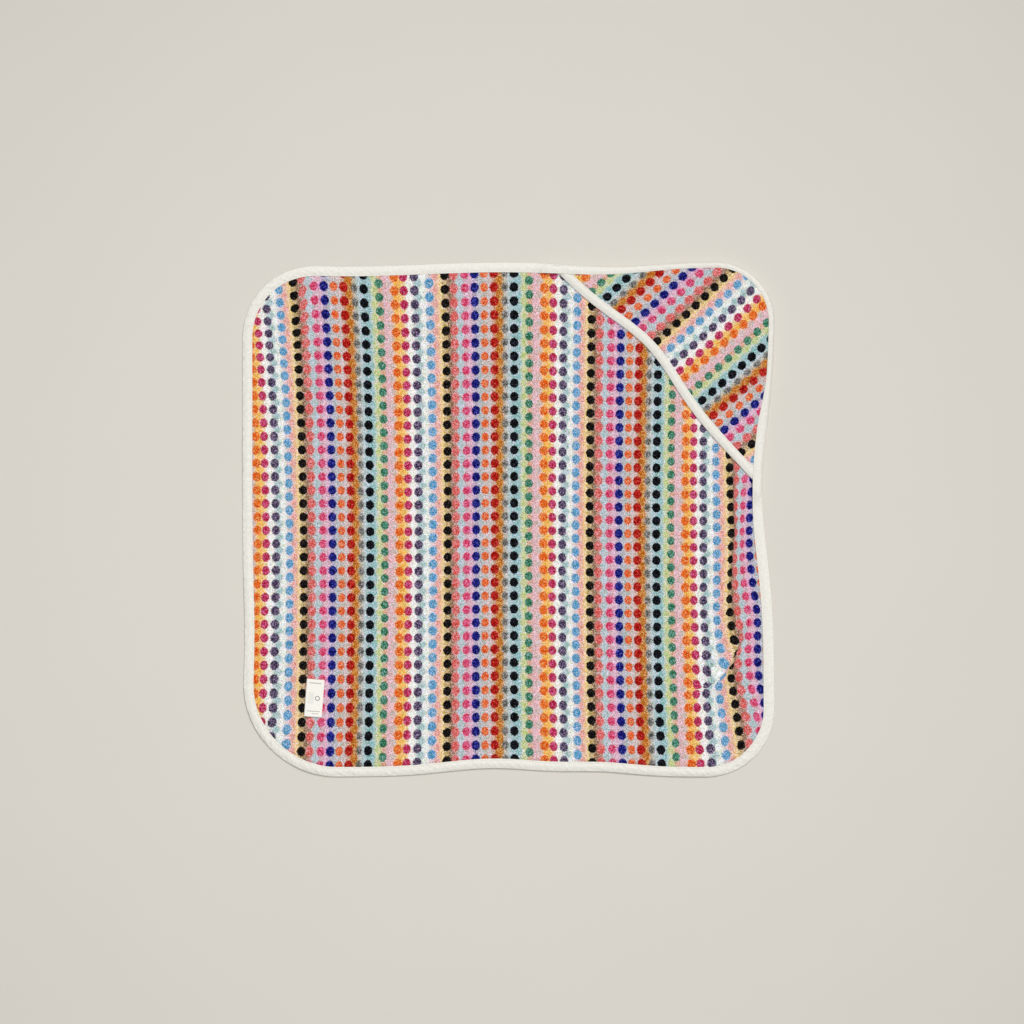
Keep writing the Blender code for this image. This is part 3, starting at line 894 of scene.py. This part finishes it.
# The label's marks, in mm from its middle: bars by their middle, half width, half height and
# darkness, and a ring by its middle, radius and half thickness
LABEL_BARS = (
    (0.0, 21.2, 8.4, 0.7, 0.55), (-5.0, 0.0, 4.2, 8.2, 0.12),
    (0.2, -18.4, 9.0, 0.7, 0.50), (2.6, -21.8, 4.6, 0.6, 0.50),
)  # fmt: skip
LABEL_RING = (4.4, 0.0, 2.9, 0.75)


def satin_look():
    """The care label: woven satin tape with plain grey marks and no wording."""
    look = Look("label_ribbon", Sheen_Weight=0.1)
    cloth = look.cloth_place()
    across, along, _ = look.parts(cloth)
    across, along = across / MM, along / MM
    wefts = (along * (2 * math.pi * MM / WEFT)).sine()
    uneven = look.noise(cloth, 500.0, 2.0)
    colour = look.mix(look.step(uneven, 0.3, 0.7), dye(248, 245, 236), dye(253, 251, 245))
    for right, up, half_wide, half_high, dark in LABEL_BARS:
        inside = look.step((across - right).absolute(), half_wide + 0.15, half_wide - 0.15)
        inside = inside * look.step((along - up).absolute(), half_high + 0.15, half_high - 0.15)
        colour = look.mix(inside * dark, colour, dye(96, 96, 100))
    right, up, radius, half = LABEL_RING
    from_middle = look.vector("LENGTH", look.joined(across - right, along - up), output=1)
    inside = look.step((from_middle - radius).absolute(), half + 0.2, half - 0.2)
    colour = look.mix(inside * 0.7, colour, dye(112, 110, 112))
    return look.finish(colour, 0.42 + 0.12 * uneven, wefts, 0.35, 0.08 * MM)


def floor_look():
    look = Look("studio_floor")
    place = look.node("TexCoord", {}, {}, "Object")
    colour = look.mix(look.noise(place, 6.0, 4.0), dye(219, 215, 207), dye(221, 217, 209))
    return look.finish(colour, 0.9)


# ---------------------------------------------------------------- the pieces


# How far past its last full point each raised stretch of the edge tape starts and stops coming down
SEAM_FALL = (14 * MM, 40 * MM)
END_FALL = (17 * MM, 36 * MM)


def hood_tape_ends():
    """How fully each point of the edge tape is raised, from 0 to 1: by the hood's seam, and by the
    ends of the hood's tape."""
    ends = across_hood(HOOD_TAPE_WIDTH / 2, TAPE_WIDTH / 2, 2)
    middle_line = EDGE + TAPE_WIDTH / 2 * EDGE_IN
    places = [int(np.argmin(np.linalg.norm(middle_line - end, axis=1))) for end in ends]
    step = EDGE_LENGTH / EDGE_POINTS
    index = np.arange(EDGE_POINTS)
    far, side = places
    middle = (far + side) / 2
    half = (far - side) / 2 * step
    from_middle = np.abs((index - middle + EDGE_POINTS / 2) % EDGE_POINTS - EDGE_POINTS / 2) * step
    seam = 1 - smooth(from_middle - half, *SEAM_FALL)
    end = 1 - smooth(np.abs(from_middle - half), *END_FALL)
    return seam, end


# How high the edge tape's gathers stand where it lies flattest, how much higher where it gathers
# most, and the hood tape's own
LEAST_GATHER, MORE_GATHER = 0.24 * MM, 0.50 * MM
HOOD_GATHER = 0.16 * MM


def edge_pucker():
    """How much the edge tape gathers round the towel: most on the corners and the left side."""
    x, y = EDGE.T
    on_corner = smooth(np.abs(x) / (WIDTH / 2) + np.abs(y) / (DEPTH / 2), 1.35, 1.7)
    on_left = smooth(-x, 0.30, 0.36)
    on_near = smooth(-y, 0.33, 0.355)
    return LEAST_GATHER + MORE_GATHER * np.maximum.reduce([0.8 * on_corner, on_left, 0.5 * on_near])


def hang(made, body, node):
    """The piece stands for its CAD node, which is hidden, and rides on its body; the hood's and the
    label's pieces only have their placing applied to their points.
    """
    if body == "hood":
        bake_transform(made)
    elif body == "label":
        top = label_place(0.0, LABEL_SIZE[1] / 2)
        bent = label_place(0.0, LABEL_SIZE[1] / 2 - LABEL_TURN)
        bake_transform(made)
    else:
        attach(made, body)
    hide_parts(node)


# How far from its sewn end the label has turned in full, how far past that end and how high its
# stitches lie, how much its selvedges stand out, how much it bows between them, and how far its
# free end lifts off the pile
LABEL_TURN, LABEL_SEWN_PAST, LABEL_ROW_HIGH = 5 * MM, 0.9 * MM, 0.15 * MM
LABEL_SELVEDGE, LABEL_BOW, LABEL_LIFT = 0.10 * MM, 0.5 * MM, 0.7 * MM


def label_place(across, along):
    """A place on the label, from its middle, as a place on the towel."""
    c, s = math.cos(LABEL_LEAN), math.sin(LABEL_LEAN)
    return LABEL_AT[0] + across * c - along * s, LABEL_AT[1] + across * s + along * c


def care_label(look):
    """The label: a short ribbon, sewn down along its upper end, its lower end just off the pile."""
    columns, rows = 17, 37
    over = np.linspace(-0.5, 0.5, columns) * LABEL_SIZE[0]
    up = np.linspace(-0.5, 0.5, rows) * LABEL_SIZE[1]
    across, along = (m.ravel() for m in np.meshgrid(over, up, indexing="ij"))
    x, y = label_place(across, along)
    down = 0.5 - along / LABEL_SIZE[1]
    half_wide = LABEL_SIZE[0] / 2
    ends = LABEL_SELVEDGE * smooth(np.abs(across), half_wide - 1.2 * MM, half_wide)
    bow = LABEL_BOW * down**2 * (1 + np.cos(across / LABEL_SIZE[0] * 2 * math.pi)) * 0.5
    low = HOOD_LOW + 0.05 * MM + lie(x, y) + bow + LABEL_LIFT * down**4 - ends * 0.3
    points, faces = closed_sheet(x, y, low + LABEL_T + ends, low, *grid_faces(columns, rows))
    cloth = np.tile(np.column_stack([across, along]), (2, 1))
    return piece("washing_label", points, faces, [look], cloth=cloth)


# How far from the edge the outermost rings of each sheet's grid lie, close together where the pile
# rises, and how many rings each grid has
PANEL_DEPTHS = [d * MM for d in (4.6, 7, 11, 13.2, 14.2, 15.0, 15.9, 17.0, 18.6, 21.0, 24.0, 28.0)]
HOOD_DEPTHS = [d * MM for d in (5.2, 8, 12.5, 14.2, 15.0, 15.9, 17.0, 18.6, 21.0, 24.0)]
PANEL_HALF = 106
HOOD_HALF = 46

# Points along each side of the hood, its free tape, and the rows of stitches there and on the label
HOOD_COUNT, FREE_COUNT, HOOD_ROW_COUNT, LABEL_ROW_COUNT = 300, 320, 200, 20


def build_towel():
    face, back = terry_look("printed_terry", 0.0), terry_look("terry_back", 0.5)
    cotton, yarn, satin = cotton_look(), thread_look(), satin_look()

    marks = [int(np.argmax(EDGE @ np.array(signs))) for _, signs, _, _ in CORNERS]
    marks = [m if m >= marks[0] else m + EDGE_POINTS for m in marks]
    grid = laid_out(PANEL_HALF, [edge_line(d) for d in PANEL_DEPTHS], marks)
    panel = terry_sheet("panel_cloth", grid, PANEL_DEPTHS, 0.0, [face, back], panel_print, 31)
    hang(panel, "towel", "body_panel")

    set_off = HOOD_TAPE_WIDTH - TAPE_WIDTH
    rings = [hood_ring(d, d + set_off, HOOD_COUNT) for d in HOOD_DEPTHS]
    grid = laid_out(HOOD_HALF, rings, [side * HOOD_COUNT for side in range(4)])
    hood = terry_sheet("hood_cloth", grid, HOOD_DEPTHS, HOOD_LOW, [face, back], hood_print, 41)
    hang(hood, "hood", "hood_panel")

    seam, end = hood_tape_ends()
    rise = HOOD_LOW * seam + OVER_TAPE_END * end
    edge_tape = tape(
        "edge_tape",
        edge_line,
        EDGE_LENGTH,
        TAPE_WIDTH,
        TAPE_LOW,
        TAPE_TOP + rise,
        edge_pucker(),
        True,
        cotton,
    )
    hang(edge_tape, "towel", "edge_binding")

    free_tape = tape(
        "hood_tape",
        lambda inset: across_hood(inset, HOOD_TUCKED, FREE_COUNT),
        FREE_LENGTH,
        HOOD_TAPE_WIDTH,
        HOOD_LOW + TAPE_LOW,
        HOOD_LOW + TAPE_TOP + np.zeros(FREE_COUNT),
        np.full(FREE_COUNT, HOOD_GATHER),
        False,
        cotton,
    )
    hang(free_tape, "hood", "hood_binding")

    row = edge_line(TAPE_WIDTH - STITCH_SET_IN)
    row, rise = np.concatenate([row, row[:1]]), np.concatenate([rise, rise[:1]])
    sunk = 0.10 * MM
    fronts = stitches("edge_seam_front", row, TAPE_TOP + rise - sunk, 1, yarn)
    backs = stitches("edge_seam_back", row, TAPE_LOW + sunk + 0 * rise, -1, yarn)
    hang(fronts, "towel", "edge_stitch_front")
    hang(backs, "towel", "edge_stitch_back")
    row = across_hood(HOOD_TAPE_WIDTH - STITCH_SET_IN, TAPE_WIDTH + 2 * GAP, HOOD_ROW_COUNT)
    flat = np.full(len(row), HOOD_LOW)
    hood_fronts = stitches("hood_seam_front", row, flat + TAPE_TOP - sunk, 1, yarn)
    hood_backs = stitches("hood_seam_back", row, flat + TAPE_LOW + sunk, -1, yarn)
    hang(hood_fronts, "hood", "hood_stitch_front")
    hang(hood_backs, "hood", "hood_stitch_back")

    label = care_label(satin)
    hang(label, "label", "care_label")
    half_wide, sewn_at = LABEL_SIZE[0] / 2, LABEL_SIZE[1] / 2 + LABEL_SEWN_PAST
    ends = [label_place(side * half_wide, sewn_at) for side in (-1, 1)]
    row = evenly(np.array(ends), LABEL_ROW_COUNT)
    flat = np.full(LABEL_ROW_COUNT, HOOD_LOW + LABEL_ROW_HIGH)
    label_row = stitches("label_seam", row, flat, 1, yarn)
    hang(label_row, "towel", "label_stitch")


# ---------------------------------------------------------------- studio


FLOOR_REACH, FLOOR_UNDER = 6.0, 0.2 * MM


def lamp(name, kind, place, settings):
    """A lamp at a place, turned to shine at the towel's middle."""
    data = bpy.data.lights.new(name, kind)
    for setting, value in settings.items():
        setattr(data, setting, value)
    made = bpy.data.objects.new(name, data)
    made.location = place
    made.rotation_mode = "QUATERNION"
    made.rotation_quaternion = Vector(place).to_track_quat("Z", "Y")
    bpy.context.scene.collection.objects.link(made)


def studio():
    """A plain pale floor, an even soft light from above and a broad key light from the far
    right."""
    data = bpy.data.meshes.new("studio_floor_plane")
    corners = [(-1, -1), (1, -1), (1, 1), (-1, 1)]
    corners = [(x * FLOOR_REACH, y * FLOOR_REACH, -FLOOR_UNDER) for x, y in corners]
    data.from_pydata(corners, [], [(0, 1, 2, 3)])
    data.materials.append(floor_look())
    floor = bpy.data.objects.new("studio_floor_plane", data)
    bpy.context.scene.collection.objects.link(floor)

    world = bpy.data.worlds.new("soft_room")
    world.use_nodes = True
    backdrop = world.node_tree.nodes["Background"]
    backdrop.inputs["Color"].default_value = (1.0, 0.99, 0.98, 1.0)
    backdrop.inputs["Strength"].default_value = 0.24
    bpy.context.scene.world = world

    sun = {"energy": 1.45, "angle": math.radians(9), "color": (1.0, 0.985, 0.96)}
    lamp("key_light", "SUN", (0.42, 0.75, 1.0), sun)
    lamp("ceiling_panel", "AREA", (0.0, 0.0, 4.6), {"energy": 66, "size": 3.0})
    glow = {"energy": 58, "color": (1.0, 0.97, 0.93), "shadow_soft_size": 0.25}
    cone = {"spot_size": math.radians(46), "spot_blend": 1.0}
    lamp("overhead_glow", "SPOT", (0.0, 0.3, 3.3), glow | cone)

    lens = bpy.data.cameras.new("camera")
    lens.type = "PERSP"
    lens.sensor_width = 36.0
    lens.lens = 99.7
    camera = bpy.data.objects.new("camera", lens)
    camera.location = (0.0050, 0.0106, 4.0)
    bpy.context.scene.collection.objects.link(camera)
    bpy.context.scene.camera = camera
    bpy.context.scene.view_settings.view_transform = "Standard"


studio()
build_towel()
